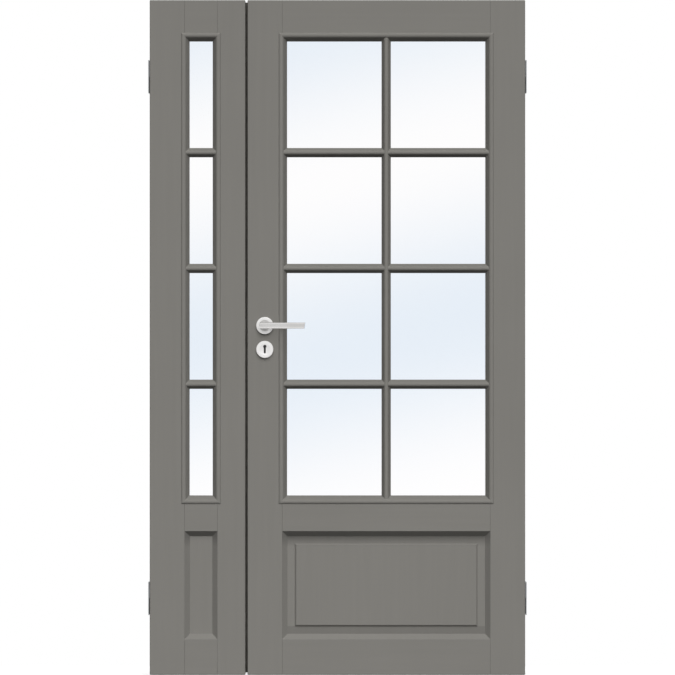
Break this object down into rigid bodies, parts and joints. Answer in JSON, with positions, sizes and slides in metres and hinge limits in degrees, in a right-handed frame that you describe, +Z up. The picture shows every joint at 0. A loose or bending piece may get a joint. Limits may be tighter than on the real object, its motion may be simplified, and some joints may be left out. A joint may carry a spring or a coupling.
{
  "type": "unequal double door",
  "caption": "Glazed double door with one wide and one narrow leaf, divided panes above lower panels, on lift-off hinges, with a lever handle and lock on the wide leaf.",
  "frame": {"origin": "middle of the back face of the narrow leaf's lower frame hinge plate", "axes": "+X across the opening from the narrow leaf to the wide one, -Y out of the front face, +Z up"},
  "size_m": [1.145, 0.139, 2.04],
  "materials": {
    "leaf_paint": "satin warm grey paint",
    "glass": "clear float glass",
    "handle_metal": "satin",
    "hinge_metal": "zinc plated",
    "lock_metal": "brushed",
    "seal_rubber": "matt"
  },
  "bodies": {
    "frame_hinges": {"passive_lower_frame_hinge": "hinge_metal", "passive_upper_frame_hinge": "hinge_metal", "active_lower_frame_hinge": "hinge_metal", "active_upper_frame_hinge": "hinge_metal"},
    "passive_leaf": {"passive_hinge_stile": "leaf_paint", "passive_top_rail": "leaf_paint", "passive_lock_rail": "leaf_paint", "passive_bottom_rail": "leaf_paint", "passive_panel": "leaf_paint", "passive_panel_moulding_front": "leaf_paint", "passive_panel_moulding_rear": "leaf_paint", "passive_glazing_bead_front": "leaf_paint", "passive_glazing_bead_rear": "leaf_paint", "passive_cross_bar_1": "leaf_paint", "passive_cross_bar_2": "leaf_paint", "passive_cross_bar_3": "leaf_paint", "passive_meeting_stile": "leaf_paint", "passive_panes": "glass", "passive_lower_leaf_hinge": "hinge_metal", "passive_upper_leaf_hinge": "hinge_metal", "strike_plate": "lock_metal", "top_flush_bolt": "lock_metal", "bottom_flush_bolt": "lock_metal", "meeting_seal": "seal_rubber"},
    "active_leaf": {"active_hinge_stile": "leaf_paint", "active_top_rail": "leaf_paint", "active_lock_rail": "leaf_paint", "active_bottom_rail": "leaf_paint", "active_panel": "leaf_paint", "active_panel_moulding_front": "leaf_paint", "active_panel_moulding_rear": "leaf_paint", "active_glazing_bead_front": "leaf_paint", "active_glazing_bead_rear": "leaf_paint", "active_cross_bar_1": "leaf_paint", "active_cross_bar_2": "leaf_paint", "active_cross_bar_3": "leaf_paint", "active_lock_stile": "leaf_paint", "active_upright_bar": "leaf_paint", "active_panes": "glass", "active_lower_leaf_hinge": "hinge_metal", "active_upper_leaf_hinge": "hinge_metal", "mortise_lock": "lock_metal", "lock_bolts": "lock_metal", "front_lever_rose": "handle_metal", "rear_lever_rose": "handle_metal", "front_key_rose": "handle_metal", "rear_key_rose": "handle_metal"},
    "lever": {"front_lever": "handle_metal", "rear_lever": "handle_metal", "spindle": "handle_metal"}
  },
  "joints": [
    {"name": "passive_leaf_swing", "type": "hinge", "parent": "frame_hinges", "child": "passive_leaf", "pos_m": [0.0065, 0.021, 0], "axis": [0, 0, 1], "range_deg": [0, 110]},
    {"name": "active_leaf_swing", "type": "hinge", "parent": "frame_hinges", "child": "active_leaf", "pos_m": [1.1385, 0.021, 0], "axis": [0, 0, -1], "range_deg": [0, 110]},
    {"name": "lever_turn", "type": "hinge", "parent": "active_leaf", "child": "lever", "pos_m": [0.353, -0.006, 0.826], "axis": [0, 1, 0], "range_deg": [0, 45], "stiffness_Nm_per_rad": 1, "springref_deg": -40.11}
  ]
}
